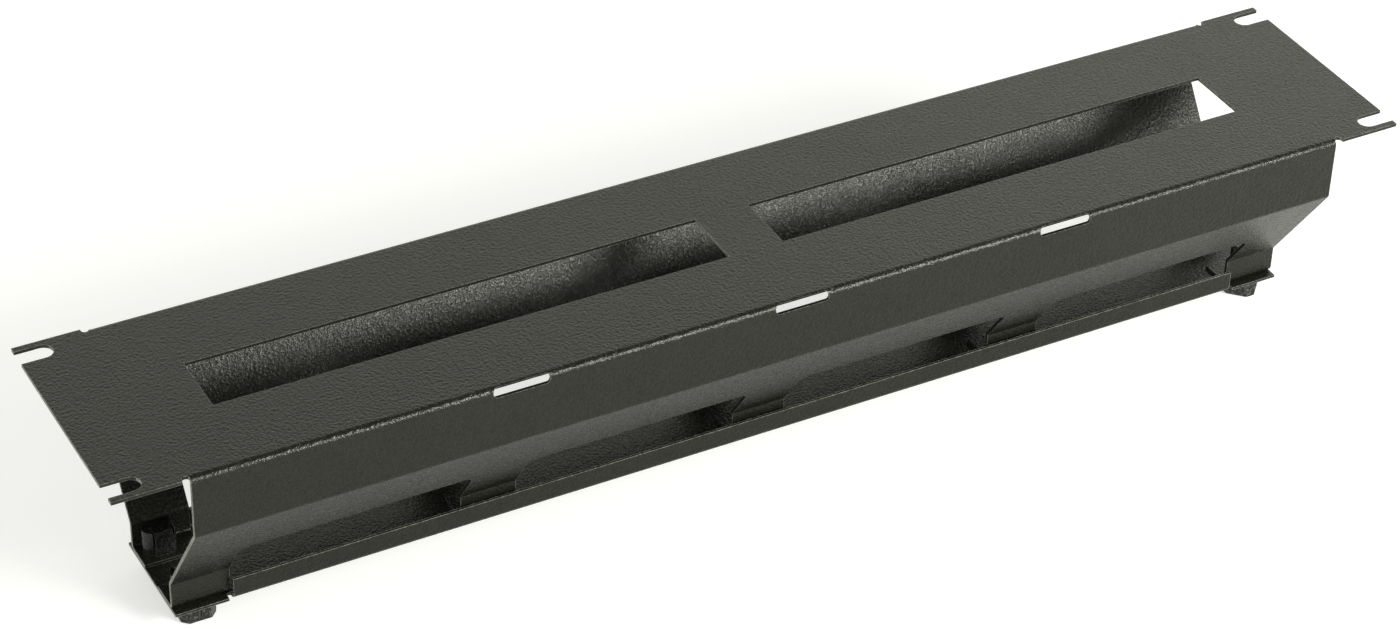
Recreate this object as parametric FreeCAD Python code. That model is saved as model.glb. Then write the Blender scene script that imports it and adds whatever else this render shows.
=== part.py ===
"""Two-unit horizontal cable manager for a 19-inch rack, lying on its front cover.

A steel channel, folded from one sheet, carries the rack face with its ears and two windows.
Its two walls run down, slope inwards and end in five tabs each, and every tab turns in to
a narrow flange. The gaps between the tabs let cables out sideways. A shallow cover closes
the narrow side. Four plastic turn knobs hold it: the stud of each passes through the cover
into a receiver that stands on a flange.

Origin: centre of the rack face, on its outer surface. X runs along the width, Z points out
of the rack face, and the cover is below.
"""
import FreeCAD, Part
import math
import os
from FreeCAD import Vector

# Sheet metal
SHEET = 1.2                  # thickness of the channel
COVER_SHEET = 1.0
INNER_BEND = 1.0             # inside radius of every bend

# Rack face
PANEL_WIDTH = 482.6          # ear to ear, 19 inches
PANEL_HEIGHT = 88.1          # two rack units, less running room
EAR_WIDTH = 25.95            # ear beyond the end of the walls
EAR_SLOT_WIDTH = 7.1         # open slot for a rack screw
EAR_SLOT_INSET = 8.4         # centre of the slot's round end, from the ear's end
EAR_SLOT_EDGE = 5.95         # centre line of the slot, from the long edge
EAR_RELIEF_WIDTH = 2.7       # notch between an ear and a wall, with a round end
EAR_RELIEF_DEPTH = 2.1
WINDOW_HEIGHT = 24.5         # both windows
BRIDGE_WIDTH = 20.3          # strip left between the windows

# Walls
CHANNEL_DEPTH = 72.3         # rack face to the outer side of the flanges
UPPER_WALL_DEPTH = 23.4      # rack face to the upper fold
LOWER_WALL_HEIGHT = 10.35    # lower fold to the outer side of the flanges
NECK_WIDTH = 35.6            # across the lower walls, outside
FLANGE_WIDTH = 12.1          # lower wall's outer side to the flange's tip
TAB_WIDTH = 20.3
TAB_COUNT = 5                # tabs on each wall
EXIT_BELOW_FOLD = 28.0       # cable exit's upper edge, measured down the slope
EXIT_CORNER_RADIUS = 3.5

# Slots in the long bends of the rack face
BEND_SLOT_LENGTH = 20.3
BEND_SLOT_ANGLE = 31.0       # upper side of the slot, round the bend, in degrees
BEND_SLOT_DEPTH = 3.7        # lower side of the slot, below the rack face

# Cover
COVER_WIDTH = 41.2
COVER_LIP_HEIGHT = 8.3       # underside of the cover to the top of its lips
COVER_RELIEF = 1.6           # width of the notch at each end of a lip

# Latches
LATCH_INSET_X = 9.25         # stud axis from the end of the walls
LATCH_INSET_Y = 5.2          # stud axis from the lower wall's outer side
STUD_DIAMETER = 4.0
STUD_REACH = 9.0             # stud above the cover's inner side
STUD_FLAT = 0.3              # depth of the two flats that make the stud a cam
STUD_RUNNING_GAP = 0.1       # stud to the hole in the cover, on the radius
BEAD_PROUD = 0.3             # snap bead beyond the hole in the cover, on the radius
BEAD_HEIGHT = 0.5
BEAD_GAP = 0.1               # snap bead to the receiver's spigot
KNOB_TOP_ACROSS = 13.4       # across the flats, next to the cover
KNOB_FOOT_ACROSS = 12.2      # across the flats, at the lower end
KNOB_CORNER_ACROSS = 14.2    # across the cut corners
KNOB_HEIGHT = 6.5
KNOB_EDGE_CHAMFER = 0.5
KNOB_GROOVE_WIDTH = 0.9
KNOB_GROOVE_DEPTH = 0.5
KNOB_GAP = 0.1               # knob to the cover's underside
TURNED_KNOB_ANGLE = 45.0     # the front right knob stands half way through its turn
RECEIVER_OUTER_REACH = 7.2   # stud axis to the receiver's round end, towards the open end
RECEIVER_INNER_REACH = 3.6   # stud axis to the receiver's square end
RECEIVER_HEIGHT = 9.0
RECEIVER_BORE_GAP = 0.2      # stud to the receiver's bore, on the radius
RECEIVER_SPIGOT_WALL = 0.5
RECEIVER_ROOF = 0.9          # plastic left above the bore
RECEIVER_WALL_GAP = 0.1      # receiver to the lower wall's inner side
RECEIVER_FRONT = 3.6         # stud axis to the receiver's front face
RECEIVER_END_RADIUS = 0.8    # edges of the receiver's square end
JAW_WIDTH = 6.4
JAW_OFFSET = 1.0             # middle of the jaw from the stud axis, towards the round end
JAW_PROUD = 0.8              # jaw in front of the receiver's front face
JAW_TOP_DROP = 0.6           # jaw's top below the receiver's top
JAW_CORNER_RADIUS = 1.2
JAW_SLIT = 0.6
JAW_ROOT_HEIGHT = 3.0        # slits start this far above the flange

# Derived places
OUTER_BEND = INNER_BEND + SHEET
COVER_OUTER_BEND = INNER_BEND + COVER_SHEET
PANEL_END = PANEL_WIDTH / 2
PANEL_EDGE = PANEL_HEIGHT / 2
WALL_END = PANEL_END - EAR_WIDTH
TAB_PITCH = (2 * WALL_END - TAB_WIDTH) / (TAB_COUNT - 1)
END_TAB_INNER = WALL_END - TAB_WIDTH
NECK_EDGE = NECK_WIDTH / 2
FLANGE_TIP = NECK_EDGE - FLANGE_WIDTH
FLANGE_TOP = -CHANNEL_DEPTH + SHEET
UPPER_FOLD = (-PANEL_EDGE, -UPPER_WALL_DEPTH)
LOWER_FOLD = (-NECK_EDGE, -CHANNEL_DEPTH + LOWER_WALL_HEIGHT)
COVER_EDGE = COVER_WIDTH / 2
COVER_TOP = -CHANNEL_DEPTH
COVER_BOTTOM = COVER_TOP - COVER_SHEET
LATCH_X = WALL_END - LATCH_INSET_X
LATCH_Y = NECK_EDGE - LATCH_INSET_Y
STUD_RADIUS = STUD_DIAMETER / 2
COVER_HOLE_RADIUS = STUD_RADIUS + STUD_RUNNING_GAP
RECEIVER_BORE_RADIUS = STUD_RADIUS + RECEIVER_BORE_GAP
SPIGOT_RADIUS = RECEIVER_BORE_RADIUS + RECEIVER_SPIGOT_WALL
BEAD_BOTTOM = COVER_TOP + KNOB_GAP
BEAD_TOP = BEAD_BOTTOM + BEAD_HEIGHT
SPIGOT_BOTTOM = BEAD_TOP + BEAD_GAP
RECEIVER_BACK = LATCH_INSET_Y - SHEET - RECEIVER_WALL_GAP
CUT_OVERRUN = 2.0            # how far a cutting shape runs past the metal


def box(x_range, y_range, z_range):
    """Block between the given lower and upper limits."""
    corner = Vector(x_range[0], y_range[0], z_range[0])
    return Part.makeBox(x_range[1] - x_range[0], y_range[1] - y_range[0],
                        z_range[1] - z_range[0], corner)


def post(radius, z_range, x=0.0, y=0.0):
    """Upright cylinder between two heights."""
    return Part.makeCylinder(radius, z_range[1] - z_range[0], Vector(x, y, z_range[0]))


def mirrored(shape, x_sign, y_sign):
    """Copy of a shape, mirrored to the side given by each sign."""
    if x_sign < 0:
        shape = shape.mirror(Vector(0, 0, 0), Vector(1, 0, 0))
    if y_sign < 0:
        shape = shape.mirror(Vector(0, 0, 0), Vector(0, 1, 0))
    return shape


def edges_along(shape, direction, test=None):
    """Straight edges of a shape that run along a direction and pass a test on their middle."""
    found = []
    for edge in shape.Edges:
        if edge.Curve.TypeId != "Part::GeomLine":
            continue
        span = edge.Vertexes[-1].Point - edge.Vertexes[0].Point
        if span.cross(direction).Length > 1e-6 * span.Length * direction.Length:
            continue
        if test is None or test(edge.CenterOfMass):
            found.append(edge)
    return found


# Folded sheet: a profile in the YZ plane, extruded along X. A profile is a list of (y, z)
# corner points along one face of the sheet, with the metal on its right-hand side.

def heading(start, end):
    """Unit vector from one profile point to the next."""
    length = math.hypot(end[0] - start[0], end[1] - start[1])
    return ((end[0] - start[0]) / length, (end[1] - start[1]) / length)


def other_face(points, sheet):
    """Corner points of the sheet's other face."""
    headings = [heading(a, b) for a, b in zip(points, points[1:])]
    moved = []
    for index, (y, z) in enumerate(points):
        before = headings[max(index - 1, 0)]
        after = headings[min(index, len(headings) - 1)]
        normal = (before[1] + after[1], -before[0] - after[0])
        scale = sheet * 2 / (normal[0] ** 2 + normal[1] ** 2)
        moved.append((y + normal[0] * scale, z + normal[1] * scale))
    return moved


def rounded_path(points, left_radius, right_radius):
    """Edges along a profile, with an arc at each corner."""
    at = [Vector(0, y, z) for y, z in points]
    edges = []
    start = at[0]
    for before, corner, after in zip(at, at[1:], at[2:]):
        incoming = (before - corner).normalize()
        outgoing = (after - corner).normalize()
        turn_left = incoming.cross(outgoing).x < 0
        radius = left_radius if turn_left else right_radius
        half_turn = (math.pi - incoming.getAngle(outgoing)) / 2
        reach = radius * math.tan(half_turn)
        towards_centre = (incoming + outgoing).normalize()
        middle = corner + towards_centre * (radius / math.cos(half_turn) - radius)
        edges.append(Part.makeLine(start, corner + incoming * reach))
        edges.append(Part.Arc(corner + incoming * reach, middle,
                              corner + outgoing * reach).toShape())
        start = corner + outgoing * reach
    edges.append(Part.makeLine(start, at[-1]))
    return edges


def folded_sheet(points, sheet, half_length):
    """Bent sheet whose one face follows the profile, centred on X = 0."""
    far_points = other_face(points, sheet)
    near_face = rounded_path(points, INNER_BEND, INNER_BEND + sheet)
    far_face = rounded_path(far_points, INNER_BEND + sheet, INNER_BEND)
    caps = []
    for end in (0, -1):
        caps.append(Part.makeLine(Vector(0, *points[end]), Vector(0, *far_points[end])))
    wire = Part.Wire(Part.__sortEdges__(near_face + far_face + caps))
    face = Part.Face(wire)
    face.translate(Vector(-half_length, 0, 0))
    return face.extrude(Vector(2 * half_length, 0, 0))


# Channel

def channel_profile():
    """Outer face of the channel, from the front flange's tip to the back flange's tip."""
    front = [(-FLANGE_TIP, -CHANNEL_DEPTH), (-NECK_EDGE, -CHANNEL_DEPTH), LOWER_FOLD,
             UPPER_FOLD, (-PANEL_EDGE, 0)]
    back = [(-y, z) for y, z in reversed(front)]
    return front + back


def ear():
    """Right-hand ear of the rack face, with its two open slots and the notches at the walls."""
    plate = box((WALL_END, PANEL_END), (-PANEL_EDGE, PANEL_EDGE), (-SHEET, 0))
    radius = EAR_SLOT_WIDTH / 2
    slot_x = PANEL_END - EAR_SLOT_INSET
    relief_radius = EAR_RELIEF_WIDTH / 2
    relief_y = PANEL_EDGE - EAR_RELIEF_DEPTH + relief_radius
    through = (-SHEET - CUT_OVERRUN, CUT_OVERRUN)
    for side in (-1, 1):
        slot_y = side * (PANEL_EDGE - EAR_SLOT_EDGE)
        plate = plate.cut(post(radius, through, slot_x, slot_y))
        plate = plate.cut(box((slot_x, PANEL_END + CUT_OVERRUN),
                              (slot_y - radius, slot_y + radius), through))
        relief = box((WALL_END, WALL_END + EAR_RELIEF_WIDTH),
                     (relief_y, PANEL_EDGE + CUT_OVERRUN), through)
        relief = relief.fuse(post(relief_radius, through, WALL_END + relief_radius, relief_y))
        plate = plate.cut(mirrored(relief, 1, side))
    return plate


def window():
    """Right-hand window."""
    half_height = WINDOW_HEIGHT / 2
    return box((BRIDGE_WIDTH / 2, END_TAB_INNER), (-half_height, half_height),
               (-SHEET - CUT_OVERRUN, CUT_OVERRUN))


def cable_exit(x_middle):
    """Cutting shape of one cable exit in the front wall, square to the sheet it passes."""
    half_width = (TAB_PITCH - TAB_WIDTH) / 2
    down = heading(UPPER_FOLD, LOWER_FOLD)
    slope_length = math.dist(UPPER_FOLD, LOWER_FOLD)
    drop = Vector(0, *down)
    inwards = Vector(0, -down[1], down[0])
    fold = Vector(x_middle - half_width, *UPPER_FOLD)
    corner = fold + drop * EXIT_BELOW_FOLD - inwards * CUT_OVERRUN
    height = slope_length - EXIT_BELOW_FOLD
    depth = SHEET + 2 * CUT_OVERRUN
    outline = Part.makePolygon([corner, corner + Vector(2 * half_width, 0, 0),
                                corner + Vector(2 * half_width, 0, 0) + drop * height,
                                corner + drop * height, corner])
    slope_cut = Part.Face(outline).extrude(inwards * depth)
    limit = corner.z - CUT_OVERRUN
    upper = edges_along(slope_cut, inwards, lambda middle: middle.z > limit - height / 2)
    slope_cut = slope_cut.makeFillet(EXIT_CORNER_RADIUS, upper)
    lower_cut = box((x_middle - half_width, x_middle + half_width),
                    (-NECK_EDGE - CUT_OVERRUN, -FLANGE_TIP + CUT_OVERRUN),
                    (-CHANNEL_DEPTH - CUT_OVERRUN, LOWER_FOLD[1] + OUTER_BEND / 2))
    return slope_cut.fuse(lower_cut)


def bend_slot(x_middle):
    """Cutting shape of one slot across the front bend: round ends, sides square to the sheet."""
    centre = Vector(x_middle, -PANEL_EDGE + OUTER_BEND, -OUTER_BEND)
    angle = math.radians(BEND_SLOT_ANGLE)
    radial = Vector(0, -math.sin(angle), math.cos(angle))
    upper = centre + radial * OUTER_BEND
    lower = Vector(x_middle, -PANEL_EDGE, -BEND_SLOT_DEPTH)
    chord = lower - upper
    outwards = Vector(0, chord.z, -chord.y).normalize()
    radius = chord.Length / 2
    half_straight = Vector(BEND_SLOT_LENGTH / 2 - radius, 0, 0)
    reach = OUTER_BEND + CUT_OVERRUN
    middle = (upper + lower) / 2 - outwards * reach
    corners = [middle - half_straight - chord / 2, middle + half_straight - chord / 2,
               middle + half_straight + chord / 2, middle - half_straight + chord / 2]
    mouth = Part.Face(Part.makePolygon(corners + corners[:1])).extrude(outwards * 2 * reach)
    for end in (middle - half_straight, middle + half_straight):
        mouth = mouth.fuse(Part.makeCylinder(radius, 2 * reach, end, outwards))
    outside = -PANEL_EDGE - CUT_OVERRUN
    rim = centre + radial * (reach + CUT_OVERRUN)
    sides = [(centre.y, centre.z), (rim.y, rim.z), (outside, rim.z), (outside, lower.z),
             (centre.y, lower.z)]
    points = [Vector(x_middle - BEND_SLOT_LENGTH, y, z) for y, z in sides]
    wedge = Part.Face(Part.makePolygon(points + points[:1])).extrude(
        Vector(2 * BEND_SLOT_LENGTH, 0, 0))
    return mouth.common(wedge)


def make_channel():
    """Rack face, walls, tabs and flanges, folded from one sheet."""
    channel = folded_sheet(channel_profile(), SHEET, WALL_END)
    cuts = []
    for x_sign in (-1, 1):
        channel = channel.fuse(mirrored(ear(), x_sign, 1))
        cuts.append(mirrored(window(), x_sign, 1))
        for y_sign in (-1, 1):
            hole = post(SPIGOT_RADIUS, (-CHANNEL_DEPTH - CUT_OVERRUN, FLANGE_TOP + CUT_OVERRUN),
                        x_sign * LATCH_X, y_sign * LATCH_Y)
            cuts.append(hole)
    for y_sign in (1, -1):
        for gap in range(TAB_COUNT - 1):
            exit_x = (gap - (TAB_COUNT - 2) / 2) * TAB_PITCH
            cuts.append(mirrored(cable_exit(exit_x), 1, y_sign))
        for middle_tab in range(1, TAB_COUNT - 1):
            slot_x = (middle_tab - (TAB_COUNT - 1) / 2) * TAB_PITCH
            cuts.append(mirrored(bend_slot(slot_x), 1, y_sign))
    for cut in cuts:
        channel = channel.cut(cut)
    return channel.removeSplitter()


# Cover

def make_cover():
    """Flat cover with an upturned lip along each side, between the end tabs."""
    lip_top = COVER_BOTTOM + COVER_LIP_HEIGHT
    profile = [(COVER_EDGE, lip_top), (COVER_EDGE, COVER_BOTTOM),
               (-COVER_EDGE, COVER_BOTTOM), (-COVER_EDGE, lip_top)]
    cover = folded_sheet(profile, COVER_SHEET, END_TAB_INNER)
    through = (COVER_BOTTOM - CUT_OVERRUN, COVER_TOP + CUT_OVERRUN)
    relief_radius = COVER_RELIEF / 2
    relief_y = COVER_EDGE - COVER_OUTER_BEND
    for x_sign in (-1, 1):
        end = box((END_TAB_INNER, WALL_END), (-COVER_EDGE, COVER_EDGE),
                  (COVER_BOTTOM, COVER_TOP))
        for y_sign in (-1, 1):
            relief = box((END_TAB_INNER, END_TAB_INNER + COVER_RELIEF),
                         (relief_y, COVER_EDGE + CUT_OVERRUN), through)
            relief = relief.fuse(post(relief_radius, through,
                                      END_TAB_INNER + relief_radius, relief_y))
            end = end.cut(mirrored(relief, 1, y_sign))
        cover = cover.fuse(mirrored(end, x_sign, 1))
        for y_sign in (-1, 1):
            cover = cover.cut(post(COVER_HOLE_RADIUS, through,
                                   x_sign * LATCH_X, y_sign * LATCH_Y))
    return cover.removeSplitter()


# Latches: each piece is drawn round the stud axis, for the back right corner

def knob_head():
    """Square turn knob, drafted towards its lower end, with cut corners and grip grooves."""
    top = COVER_BOTTOM - KNOB_GAP
    bottom = top - KNOB_HEIGHT
    sections = []
    for half, z in ((KNOB_TOP_ACROSS / 2, top), (KNOB_FOOT_ACROSS / 2, bottom)):
        corners = [Vector(half, half, z), Vector(-half, half, z), Vector(-half, -half, z),
                   Vector(half, -half, z)]
        sections.append(Part.makePolygon(corners + corners[:1]))
    head = Part.makeLoft(sections, True, True)
    half_cut = KNOB_CORNER_ACROSS / 2
    corner_block = box((-half_cut, half_cut), (-half_cut, half_cut), (bottom, top))
    corner_block.rotate(Vector(0, 0, 0), Vector(0, 0, 1), 45)
    head = head.common(corner_block)
    lower_edges = [edge for edge in head.Edges
                   if all(abs(v.Z - bottom) < 1e-6 for v in edge.Vertexes)]
    head = head.makeChamfer(KNOB_EDGE_CHAMFER, lower_edges)
    half_top = KNOB_TOP_ACROSS / 2
    groove = box((-KNOB_GROOVE_WIDTH / 2, KNOB_GROOVE_WIDTH / 2),
                 (-half_top - CUT_OVERRUN, KNOB_GROOVE_DEPTH - half_top),
                 (bottom - CUT_OVERRUN, top + CUT_OVERRUN))
    lean = math.degrees(math.atan((KNOB_TOP_ACROSS - KNOB_FOOT_ACROSS) / 2 / KNOB_HEIGHT))
    groove.rotate(Vector(0, -half_top, top), Vector(1, 0, 0), lean)
    for quarter in range(4):
        side = groove.copy()
        side.rotate(Vector(0, 0, 0), Vector(0, 0, 1), 90 * quarter)
        head = head.cut(side)
    return head


def make_knob():
    """Knob and stud in one piece, with a snap bead that keeps it in the cover."""
    top = COVER_TOP + STUD_REACH
    stud = post(STUD_RADIUS, (COVER_BOTTOM - KNOB_GAP - KNOB_HEIGHT / 2, top))
    tip_edges = [edge for edge in stud.Edges
                 if all(abs(v.Z - top) < 1e-6 for v in edge.Vertexes)]
    stud = stud.makeChamfer(STUD_FLAT, tip_edges)
    for side in (-1, 1):
        flat = box((-STUD_DIAMETER, STUD_DIAMETER),
                   (STUD_RADIUS - STUD_FLAT, STUD_DIAMETER), (FLANGE_TOP, top + CUT_OVERRUN))
        stud = stud.cut(mirrored(flat, 1, side))
    bead = post(COVER_HOLE_RADIUS + BEAD_PROUD, (BEAD_BOTTOM, BEAD_TOP))
    return knob_head().fuse([stud, bead]).removeSplitter()


def receiver_body():
    """Block with a round outer end and a relieved lower edge that clears the wall's bend."""
    depth = RECEIVER_FRONT + RECEIVER_BACK
    top = FLANGE_TOP + RECEIVER_HEIGHT
    round_x = RECEIVER_OUTER_REACH - depth / 2
    body = box((-RECEIVER_INNER_REACH, round_x), (-RECEIVER_FRONT, RECEIVER_BACK),
               (FLANGE_TOP, top))
    body = body.fuse(post(depth / 2, (FLANGE_TOP, top), round_x,
                          (RECEIVER_BACK - RECEIVER_FRONT) / 2)).removeSplitter()
    square_end = edges_along(body, Vector(0, 0, 1),
                             lambda middle: middle.x < -RECEIVER_INNER_REACH + 1e-6)
    square_end += edges_along(body, Vector(0, 1, 0), lambda middle: middle.z > top - 1e-6)
    body = body.makeFillet(RECEIVER_END_RADIUS, square_end)
    relief = INNER_BEND + RECEIVER_WALL_GAP
    beyond = RECEIVER_BACK + CUT_OVERRUN
    corner = [(RECEIVER_BACK - relief, FLANGE_TOP), (beyond, FLANGE_TOP),
              (beyond, FLANGE_TOP + relief), (RECEIVER_BACK, FLANGE_TOP + relief)]
    points = [Vector(-2 * RECEIVER_OUTER_REACH, y, z) for y, z in corner]
    wedge = Part.Face(Part.makePolygon(points + points[:1])).extrude(
        Vector(4 * RECEIVER_OUTER_REACH, 0, 0))
    return body.cut(wedge)


def make_receiver():
    """Receiver on the flange: its sprung jaw grips the stud."""
    top = FLANGE_TOP + RECEIVER_HEIGHT
    front = -RECEIVER_FRONT - JAW_PROUD
    jaw_sides = (JAW_OFFSET - JAW_WIDTH / 2, JAW_OFFSET + JAW_WIDTH / 2)
    jaw = box(jaw_sides, (front, 0), (FLANGE_TOP, top - JAW_TOP_DROP))
    upper = edges_along(jaw, Vector(0, 1, 0),
                        lambda middle: middle.z > FLANGE_TOP + RECEIVER_HEIGHT / 2)
    jaw = jaw.makeFillet(JAW_CORNER_RADIUS, upper)
    receiver = receiver_body().fuse(jaw)
    spigot = post(SPIGOT_RADIUS, (SPIGOT_BOTTOM, FLANGE_TOP + JAW_ROOT_HEIGHT / 2))
    receiver = receiver.fuse(spigot)
    slit_start = FLANGE_TOP + JAW_ROOT_HEIGHT
    for slit_x in (jaw_sides[0] - JAW_SLIT, jaw_sides[1]):
        slit = box((slit_x, slit_x + JAW_SLIT), (front - CUT_OVERRUN, 0),
                   (slit_start, top + CUT_OVERRUN))
        receiver = receiver.cut(slit)
    bore = post(RECEIVER_BORE_RADIUS, (SPIGOT_BOTTOM - CUT_OVERRUN, top - RECEIVER_ROOF))
    return receiver.cut(bore).removeSplitter()


def at_corner(shape, x_sign, y_sign):
    """Copy of a latch piece at one corner of the cover."""
    placed = mirrored(shape, x_sign, y_sign)
    placed.translate(Vector(x_sign * LATCH_X, y_sign * LATCH_Y, 0))
    return placed


def main():
    nodes = {"channel": make_channel(), "cover": make_cover()}
    knob = make_knob()
    receiver = make_receiver()
    for x_sign, side in ((-1, "left"), (1, "right")):
        for y_sign, row in ((-1, "front"), (1, "back")):
            turned = knob.copy()
            if (row, side) == ("front", "right"):
                turned.rotate(Vector(0, 0, 0), Vector(0, 0, 1), TURNED_KNOB_ANGLE)
            nodes[f"turn_knob_{row}_{side}"] = at_corner(turned, x_sign, y_sign)
            nodes[f"latch_receiver_{row}_{side}"] = at_corner(receiver, x_sign, y_sign)
    os.makedirs("parts", exist_ok=True)
    for name, shape in nodes.items():
        shape.exportStep(os.path.join("parts", name + ".step"))
        print(name, "solids", len(shape.Solids), "valid", shape.isValid(),
              "volume", round(shape.Volume, 1))


main()
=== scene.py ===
"""Looks of a horizontal cable manager for a 19-inch rack: a folded steel channel and cover in
black textured powder coat, with glossy moulded turn knobs and receivers. It stands on its knobs
on a pale studio floor."""
import math

import bpy
from mathutils import Matrix, Vector


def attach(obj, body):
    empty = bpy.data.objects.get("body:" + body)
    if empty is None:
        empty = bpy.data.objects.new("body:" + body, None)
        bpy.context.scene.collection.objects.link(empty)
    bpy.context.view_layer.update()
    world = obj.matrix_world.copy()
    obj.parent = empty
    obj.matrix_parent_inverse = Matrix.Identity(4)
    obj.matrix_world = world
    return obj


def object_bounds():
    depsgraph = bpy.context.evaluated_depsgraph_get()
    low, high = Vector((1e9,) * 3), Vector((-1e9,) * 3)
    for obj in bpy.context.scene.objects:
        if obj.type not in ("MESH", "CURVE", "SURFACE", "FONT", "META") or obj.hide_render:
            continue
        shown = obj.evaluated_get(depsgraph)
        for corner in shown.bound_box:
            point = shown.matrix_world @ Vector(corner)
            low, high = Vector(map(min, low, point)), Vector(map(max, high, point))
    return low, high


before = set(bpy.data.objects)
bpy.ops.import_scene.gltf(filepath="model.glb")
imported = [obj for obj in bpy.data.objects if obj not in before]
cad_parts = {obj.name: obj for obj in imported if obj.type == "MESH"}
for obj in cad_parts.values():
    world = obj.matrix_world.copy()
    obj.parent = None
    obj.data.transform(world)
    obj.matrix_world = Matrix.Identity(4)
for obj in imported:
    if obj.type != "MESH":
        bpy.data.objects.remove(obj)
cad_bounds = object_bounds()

MM = 0.001

# Camera, placed from the middle of the rack face; angles in degrees
CAMERA_AZIMUTH = -29.28          # 0 looks along +Y
CAMERA_DROP = 35.74              # below the horizon
CAMERA_ROLL = 1.79
CAMERA_LENS = 96.79              # millimetres
CAMERA_SENSOR = 36.0             # millimetres
CAMERA_PLACE = Vector((-522.09, -906.02, 717.0)) * MM

# Floor, in metres and strengths
FLOOR_SIZE = 30.0
FLOOR_WHITE = 0.64
FLOOR_ROUGH = 0.95
FLOOR_LIFT = 0.52                # added where the camera sees the floor
REFLECTED_LIFT = 0.18            # and where a reflection shows it

# Surroundings as a light; heights are the sine of the angle above the horizon
SKY_LOW = 1.25                   # strength up to SKY_LOW_HEIGHT
SKY_HIGH = 0.14                  # and from SKY_HIGH_HEIGHT up
SKY_LOW_HEIGHT = 0.6
SKY_HIGH_HEIGHT = 0.78
LIGHT_TINT = (0.985, 1.0, 0.9)   # of the surroundings and the lamps

# Lamps, in metres and watts
LAMP_TARGET = Vector((0.0, 0.0, -0.04))
LAMPS = {
    "key": {"place": (0.66, -1.22, 0.62), "width": 0.7, "height": 0.4, "power": 28.0},
    "back_right": {"place": (1.3, 1.1, 0.9), "width": 1.0, "height": 0.8, "power": 1.5},
}

# Grain of both finishes; cells and patches per metre
COAT_GRAIN = {"Cells": 900.0, "Patches": 120.0}
COAT_SPECK = {"Cells": 2600.0, "Patches": 30.0}
PLASTIC_RIPPLE = {"Cells": 900.0, "Patches": 160.0}
GRAIN_DEPTH = 0.1 * MM
SPECK_DEPTH = 0.02 * MM
RIPPLE_DEPTH = 0.12 * MM
RIPPLE_STRENGTH = 0.6
CELL_DETAIL = 2.0
CELL_CRISPNESS = 0.6
PATCH_DETAIL = 3.0
PATCH_CRISPNESS = 0.5
NOISE_LOW = 0.3                  # noise below this counts as 0
NOISE_HIGH = 0.7                 # and above this as 1
HEIGHT_SHARE = 0.8               # of the height in the tone; patches give the rest

# Painted highlights along the edges and on the sheet's cut faces
COAT_EDGE = 0.4 * MM
PLASTIC_EDGE = 0.3 * MM
EDGE_SAMPLES = 6
EDGE_START = 0.99                # likeness of rounded and true normal where the edge starts
EDGE_FULL = 0.85                 # and where it is full
# where the painted highlight on the cut faces goes
CUT_SIDEWAYS = 0.8               # least share of X in the normal of a cut face
CUT_FACES = {"Lowest": -30.0 * MM, "End": 200.0 * MM}

# Powder coat
COAT_DARK = (0.004, 0.0042, 0.0032)
COAT_LIGHT = (0.016, 0.0165, 0.013)
# painted highlight along the edges of the channel and of the cover
CHANNEL_EDGE_HIGHLIGHT = (0.18, 0.18, 0.165)
COVER_EDGE_HIGHLIGHT = (0.34, 0.34, 0.31)
CUT_HIGHLIGHT_COLOUR = (0.3, 0.3, 0.275)   # painted highlight on the sheet's cut faces, which are thinly coated
COAT_ROUGH = 0.3                 # in the dark of the grain
COAT_SMOOTH = 0.18               # on its light tops
COAT_ROUGH_TONE = 0.25
COAT_SMOOTH_TONE = 0.75
COAT_SPECULAR = 0.33
HIGHLIGHT_LEAST = 0.45                # share of the painted highlight left in the dark of the grain
HIGHLIGHT_LEAST_TONE = 0.2
HIGHLIGHT_FULL_TONE = 0.8

# Moulded plastic
PLASTIC_DARK = (0.004, 0.004, 0.004)
PLASTIC_LIGHT = (0.012, 0.012, 0.011)
# pale colour of the scuffs and of the painted highlight on the edges
PLASTIC_SCUFF_AND_HIGHLIGHT = (0.14, 0.14, 0.135)
PLASTIC_SMOOTH = 0.08            # in the dark of the ripple
PLASTIC_ROUGH = 0.22             # on its light tops
PLASTIC_SMOOTH_TONE = 0.2
PLASTIC_ROUGH_TONE = 0.8
PLASTIC_SPECULAR = 0.45
# share of the painted highlight along the edges
PLASTIC_EDGE_HIGHLIGHT = 0.6
SCUFF_START_TONE = 0.6
SCUFF_FULL_TONE = 0.85
KNOB_SCUFFING = 0.5
RECEIVER_SCUFFING = 0.08


def use_nodes(material):
    """Fresh node tree of a material, with its output node."""
    material.use_nodes = True
    tree = material.node_tree
    tree.nodes.clear()
    output = tree.nodes.new("ShaderNodeOutputMaterial")
    return tree, output


def link(tree, source, target):
    """Joins two sockets."""
    tree.links.new(source, target)


def math_node(tree, operation, first, second=None):
    """Maths node over a socket and, where it takes two, a second socket or number."""
    node = tree.nodes.new("ShaderNodeMath")
    node.operation = operation
    link(tree, first, node.inputs[0])
    if isinstance(second, float):
        node.inputs[1].default_value = second
    elif second is not None:
        link(tree, second, node.inputs[1])
    return node.outputs[0]


def ramp_between(tree, value, low, high, bottom=0.0, top=1.0):
    """Value mapped from one range to another, smoothly and without overshoot."""
    node = tree.nodes.new("ShaderNodeMapRange")
    node.interpolation_type = "SMOOTHSTEP"
    link(tree, value, node.inputs["Value"])
    limits = {"From Min": low, "From Max": high, "To Min": bottom, "To Max": top}
    for name, number in limits.items():
        node.inputs[name].default_value = number
    return node.outputs["Result"]


def blend_colours(tree, factor, first, second):
    """Colour between two, each a socket or plain values."""
    node = tree.nodes.new("ShaderNodeMix")
    node.data_type = "RGBA"
    link(tree, factor, node.inputs["Factor"])
    for socket, value in ((node.inputs["A"], first), (node.inputs["B"], second)):
        if isinstance(value, tuple):
            socket.default_value = (*value, 1.0)
        else:
            link(tree, value, socket)
    return node.outputs["Result"]


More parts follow.
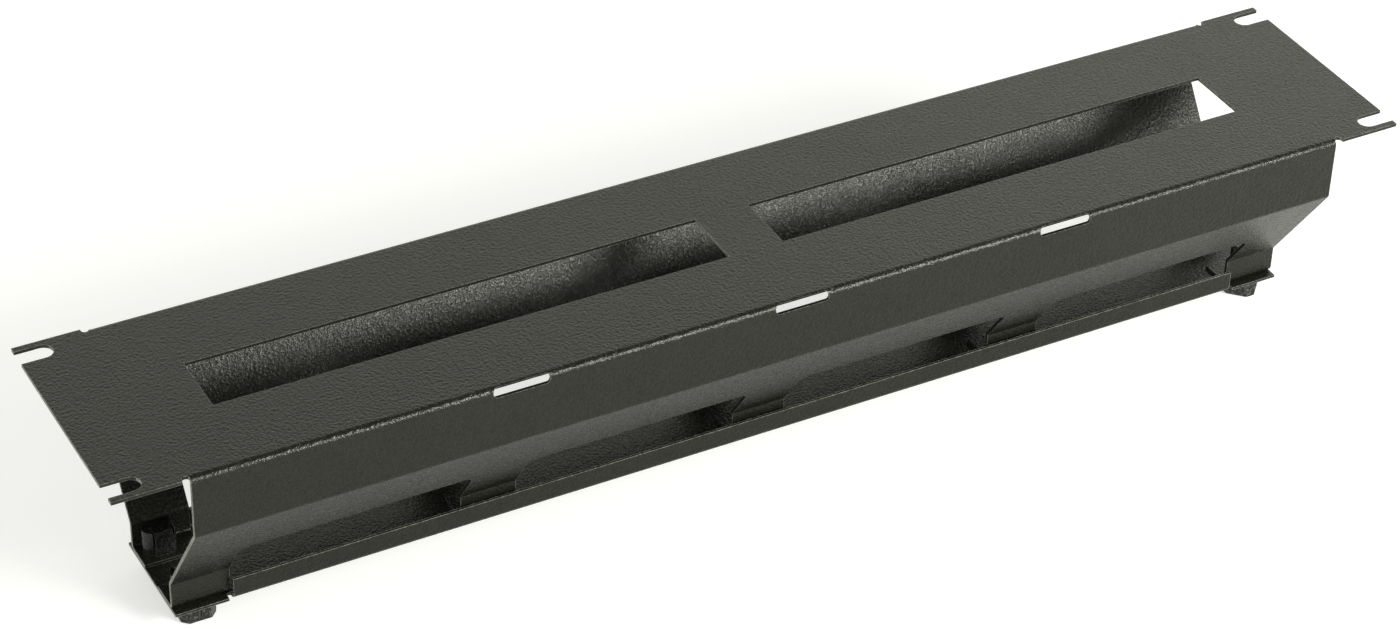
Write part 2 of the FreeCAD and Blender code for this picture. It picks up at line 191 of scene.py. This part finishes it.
def new_group(name, inputs, outputs):
    """Shader node group with named number inputs and named outputs."""
    group = bpy.data.node_groups.new(name, "ShaderNodeTree")
    for label, value in inputs.items():
        socket = group.interface.new_socket(label, in_out="INPUT", socket_type="NodeSocketFloat")
        socket.default_value = value
    for label in outputs:
        group.interface.new_socket(label, in_out="OUTPUT", socket_type="NodeSocketFloat")
    start = group.nodes.new("NodeGroupInput")
    end = group.nodes.new("NodeGroupOutput")
    return group, start, end


def place_group(tree, group, values):
    """Group node in a material, with its own values."""
    node = tree.nodes.new("ShaderNodeGroup")
    node.node_tree = group
    for label, value in values.items():
        node.inputs[label].default_value = value
    return node


def noise(tree, scale, detail, crispness):
    """Noise from 0 to 1 over the piece's own coordinates; scale is a socket, cells per metre."""
    coordinates = tree.nodes.new("ShaderNodeTexCoord")
    node = tree.nodes.new("ShaderNodeTexNoise")
    link(tree, coordinates.outputs["Object"], node.inputs["Vector"])
    link(tree, scale, node.inputs["Scale"])
    node.inputs["Detail"].default_value = detail
    node.inputs["Roughness"].default_value = crispness
    return ramp_between(tree, node.outputs["Fac"], NOISE_LOW, NOISE_HIGH)


def build_surface_grain():
    """Fine grain: a height for bumps and a patchy tone, both from 0 to 1."""
    group, start, end = new_group("surface_grain", COAT_GRAIN, ("Height", "Tone"))
    height = noise(group, start.outputs["Cells"], CELL_DETAIL, CELL_CRISPNESS)
    patch = noise(group, start.outputs["Patches"], PATCH_DETAIL, PATCH_CRISPNESS)
    tone = math_node(group, "ADD", math_node(group, "MULTIPLY", height, HEIGHT_SHARE),
                     math_node(group, "MULTIPLY", patch, 1.0 - HEIGHT_SHARE))
    link(group, height, end.inputs["Height"])
    link(group, tone, end.inputs["Tone"])
    return group


def build_edge_band():
    """Mask of 1 along the edges of a piece, fading out over the given width in metres."""
    group, start, end = new_group("edge_band", {"Width": COAT_EDGE}, ("Mask",))
    rounded = group.nodes.new("ShaderNodeBevel")
    rounded.samples = EDGE_SAMPLES
    link(group, start.outputs["Width"], rounded.inputs["Radius"])
    geometry = group.nodes.new("ShaderNodeNewGeometry")
    likeness = group.nodes.new("ShaderNodeVectorMath")
    likeness.operation = "DOT_PRODUCT"
    link(group, rounded.outputs["Normal"], likeness.inputs[0])
    link(group, geometry.outputs["Normal"], likeness.inputs[1])
    mask = ramp_between(group, likeness.outputs["Value"], EDGE_START, EDGE_FULL)
    link(group, mask, end.inputs["Mask"])
    return group


def build_cut_faces():
    """Mask of 1 on faces that look along X, above a height or near the open ends, where a
    highlight is painted.
    """
    group, start, end = new_group("cut_faces", CUT_FACES, ("Mask",))
    geometry = group.nodes.new("ShaderNodeNewGeometry")
    normal = group.nodes.new("ShaderNodeSeparateXYZ")
    link(group, geometry.outputs["Normal"], normal.inputs[0])
    sideways = math_node(group, "GREATER_THAN",
                         math_node(group, "ABSOLUTE", normal.outputs["X"]), CUT_SIDEWAYS)
    coordinates = group.nodes.new("ShaderNodeTexCoord")
    place = group.nodes.new("ShaderNodeSeparateXYZ")
    link(group, coordinates.outputs["Object"], place.inputs[0])
    high = math_node(group, "GREATER_THAN", place.outputs["Z"], start.outputs["Lowest"])
    far = math_node(group, "GREATER_THAN",
                    math_node(group, "ABSOLUTE", place.outputs["X"]), start.outputs["End"])
    where = math_node(group, "MAXIMUM", high, far)
    link(group, math_node(group, "MULTIPLY", sideways, where), end.inputs["Mask"])
    return group


def bump(tree, height, strength, distance, under=None):
    """Bump node over a height, with an optional normal under it."""
    node = tree.nodes.new("ShaderNodeBump")
    node.inputs["Strength"].default_value = strength
    node.inputs["Distance"].default_value = distance
    link(tree, height, node.inputs["Height"])
    if under is not None:
        link(tree, under, node.inputs["Normal"])
    return node.outputs["Normal"]


def powder_coat(name, groups, edge_highlight_colour):
    """Black powder coat with a leathery grain, paler where a highlight is painted on the edges
    and the cut faces.
    """
    material = bpy.data.materials.new(name)
    tree, output = use_nodes(material)
    shader = tree.nodes.new("ShaderNodeBsdfPrincipled")
    speck = place_group(tree, groups["surface_grain"], COAT_SPECK)
    grain = place_group(tree, groups["surface_grain"], COAT_GRAIN)
    band = place_group(tree, groups["edge_band"], {"Width": COAT_EDGE})
    cut = place_group(tree, groups["cut_faces"], CUT_FACES)
    both = math_node(tree, "ADD", speck.outputs["Tone"], grain.outputs["Tone"])
    tone = math_node(tree, "MULTIPLY", both, 0.5)
    paint = blend_colours(tree, tone, COAT_DARK, COAT_LIGHT)
    # Painted highlight along the edges and on the cut faces, broken up by the grain.
    highlight_breakup = ramp_between(tree, grain.outputs["Tone"], HIGHLIGHT_LEAST_TONE, HIGHLIGHT_FULL_TONE,
                        HIGHLIGHT_LEAST, 1.0)
    edge_lit = blend_colours(tree, math_node(tree, "MULTIPLY", band.outputs["Mask"], highlight_breakup),
                         paint, edge_highlight_colour)
    cut_lit = blend_colours(tree, math_node(tree, "MULTIPLY", cut.outputs["Mask"], highlight_breakup),
                         edge_lit, CUT_HIGHLIGHT_COLOUR)
    link(tree, cut_lit, shader.inputs["Base Color"])
    roughness = ramp_between(tree, tone, COAT_ROUGH_TONE, COAT_SMOOTH_TONE,
                             COAT_ROUGH, COAT_SMOOTH)
    link(tree, roughness, shader.inputs["Roughness"])
    shader.inputs["Specular IOR Level"].default_value = COAT_SPECULAR
    relief = bump(tree, grain.outputs["Height"], 1.0, GRAIN_DEPTH)
    relief = bump(tree, speck.outputs["Height"], 1.0, SPECK_DEPTH, relief)
    link(tree, relief, shader.inputs["Normal"])
    link(tree, shader.outputs["BSDF"], output.inputs["Surface"])
    return material


def glossy_plastic(name, groups, scuffing):
    """Glossy black moulded plastic with a ripple, paler in small scuffs and where a highlight is
    painted on the edges.
    """
    material = bpy.data.materials.new(name)
    tree, output = use_nodes(material)
    shader = tree.nodes.new("ShaderNodeBsdfPrincipled")
    ripple = place_group(tree, groups["surface_grain"], PLASTIC_RIPPLE)
    band = place_group(tree, groups["edge_band"], {"Width": PLASTIC_EDGE})
    body = blend_colours(tree, ripple.outputs["Tone"], PLASTIC_DARK, PLASTIC_LIGHT)
    scuffs = ramp_between(tree, ripple.outputs["Tone"], SCUFF_START_TONE, SCUFF_FULL_TONE,
                          0.0, scuffing)
    # Painted highlight along the edges; the scuffs are the plastic's own marks.
    edges = math_node(tree, "MULTIPLY", band.outputs["Mask"], PLASTIC_EDGE_HIGHLIGHT)
    shade = blend_colours(tree, math_node(tree, "MAXIMUM", edges, scuffs), body, PLASTIC_SCUFF_AND_HIGHLIGHT)
    link(tree, shade, shader.inputs["Base Color"])
    roughness = ramp_between(tree, ripple.outputs["Tone"], PLASTIC_SMOOTH_TONE,
                             PLASTIC_ROUGH_TONE, PLASTIC_SMOOTH, PLASTIC_ROUGH)
    link(tree, roughness, shader.inputs["Roughness"])
    shader.inputs["Specular IOR Level"].default_value = PLASTIC_SPECULAR
    relief = bump(tree, ripple.outputs["Height"], RIPPLE_STRENGTH, RIPPLE_DEPTH)
    link(tree, relief, shader.inputs["Normal"])
    link(tree, shader.outputs["BSDF"], output.inputs["Surface"])
    return material


def white_floor_paint():
    """Matt white that keeps the object's soft shadow, and is clear from underneath."""
    material = bpy.data.materials.new("floor_white")
    tree, output = use_nodes(material)
    shader = tree.nodes.new("ShaderNodeBsdfPrincipled")
    shader.inputs["Base Color"].default_value = (FLOOR_WHITE, FLOOR_WHITE, FLOOR_WHITE, 1.0)
    shader.inputs["Roughness"].default_value = FLOOR_ROUGH
    shader.inputs["Specular IOR Level"].default_value = 0.0
    shader.inputs["Emission Color"].default_value = (1.0, 1.0, 1.0, 1.0)
    path = tree.nodes.new("ShaderNodeLightPath")
    lift = math_node(tree, "ADD",
                     math_node(tree, "MULTIPLY", path.outputs["Is Camera Ray"], FLOOR_LIFT),
                     math_node(tree, "MULTIPLY", path.outputs["Is Glossy Ray"], REFLECTED_LIFT))
    link(tree, lift, shader.inputs["Emission Strength"])
    geometry = tree.nodes.new("ShaderNodeNewGeometry")
    clear = tree.nodes.new("ShaderNodeBsdfTransparent")
    mix = tree.nodes.new("ShaderNodeMixShader")
    link(tree, geometry.outputs["Backfacing"], mix.inputs[0])
    link(tree, shader.outputs["BSDF"], mix.inputs[1])
    link(tree, clear.outputs["BSDF"], mix.inputs[2])
    link(tree, mix.outputs[0], output.inputs["Surface"])
    return material


def dress_nodes():
    """Gives every carried-over node its finish, by the start of its name."""
    groups = {"surface_grain": build_surface_grain(), "edge_band": build_edge_band(),
              "cut_faces": build_cut_faces()}
    finishes = {
        "channel": powder_coat("channel_powder_coat", groups, CHANNEL_EDGE_HIGHLIGHT),
        "cover": powder_coat("cover_powder_coat", groups, COVER_EDGE_HIGHLIGHT),
        "turn_knob": glossy_plastic("scuffed_knob_plastic", groups, KNOB_SCUFFING),
        "latch_receiver": glossy_plastic("receiver_plastic", groups, RECEIVER_SCUFFING),
    }
    for name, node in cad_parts.items():
        for start, finish in finishes.items():
            if name.startswith(start):
                for slot in node.material_slots:
                    slot.material = finish


def make_floor():
    """Pale floor under the cover's knobs, which goes down with the cover when it comes off."""
    level = cad_bounds[0].z
    half = FLOOR_SIZE / 2
    mesh = bpy.data.meshes.new("floor")
    corners = [(-half, -half), (half, -half), (half, half), (-half, half)]
    mesh.from_pydata([(x, y, level) for x, y in corners], [], [(0, 1, 2, 3)])
    floor = bpy.data.objects.new("floor", mesh)
    bpy.context.collection.objects.link(floor)
    mesh.materials.append(white_floor_paint())
    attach(floor, "cover")


def make_world():
    """White where the camera sees it; as a light, bright low down and dim overhead."""
    world = bpy.data.worlds.new("studio")
    bpy.context.scene.world = world
    world.use_nodes = True
    tree = world.node_tree
    tree.nodes.clear()
    output = tree.nodes.new("ShaderNodeOutputWorld")
    seen = tree.nodes.new("ShaderNodeBackground")
    seen.inputs["Color"].default_value = (1.0, 1.0, 1.0, 1.0)
    seen.inputs["Strength"].default_value = 1.0
    lit = tree.nodes.new("ShaderNodeBackground")
    lit.inputs["Color"].default_value = (*LIGHT_TINT, 1.0)
    direction = tree.nodes.new("ShaderNodeTexCoord")
    parts = tree.nodes.new("ShaderNodeSeparateXYZ")
    link(tree, direction.outputs["Generated"], parts.inputs[0])
    level = ramp_between(tree, parts.outputs["Z"], SKY_LOW_HEIGHT, SKY_HIGH_HEIGHT,
                         SKY_LOW, SKY_HIGH)
    link(tree, level, lit.inputs["Strength"])
    path = tree.nodes.new("ShaderNodeLightPath")
    mix = tree.nodes.new("ShaderNodeMixShader")
    link(tree, path.outputs["Is Camera Ray"], mix.inputs[0])
    link(tree, lit.outputs[0], mix.inputs[1])
    link(tree, seen.outputs[0], mix.inputs[2])
    link(tree, mix.outputs[0], output.inputs["Surface"])


def soft_box(name, place, width, height, power):
    """Rectangular soft light, aimed at the middle of the object."""
    data = bpy.data.lights.new(name, "AREA")
    data.shape = "RECTANGLE"
    data.size = width
    data.size_y = height
    data.energy = power
    data.color = LIGHT_TINT
    lamp = bpy.data.objects.new(name, data)
    lamp.location = place
    bpy.context.collection.objects.link(lamp)
    lamp.rotation_euler = (LAMP_TARGET - lamp.location).to_track_quat("-Z", "Y").to_euler()


def make_lights():
    """Small bright light over the front right, and a weak broad one at the back right."""
    for name, values in LAMPS.items():
        soft_box(name, **values)


def make_camera():
    """Long lens from above the front left corner."""
    data = bpy.data.cameras.new("camera")
    data.sensor_width = CAMERA_SENSOR
    data.lens = CAMERA_LENS
    camera = bpy.data.objects.new("camera", data)
    bpy.context.collection.objects.link(camera)
    turn = Matrix.Rotation(math.radians(CAMERA_AZIMUTH), 4, "Z")
    tilt = Matrix.Rotation(math.radians(90.0 - CAMERA_DROP), 4, "X")
    roll = Matrix.Rotation(math.radians(CAMERA_ROLL), 4, "Z")
    camera.matrix_world = Matrix.Translation(CAMERA_PLACE) @ turn @ tilt @ roll
    bpy.context.scene.camera = camera


dress_nodes()
make_floor()
make_world()
make_lights()
make_camera()
bpy.context.scene.view_settings.view_transform = "Standard"
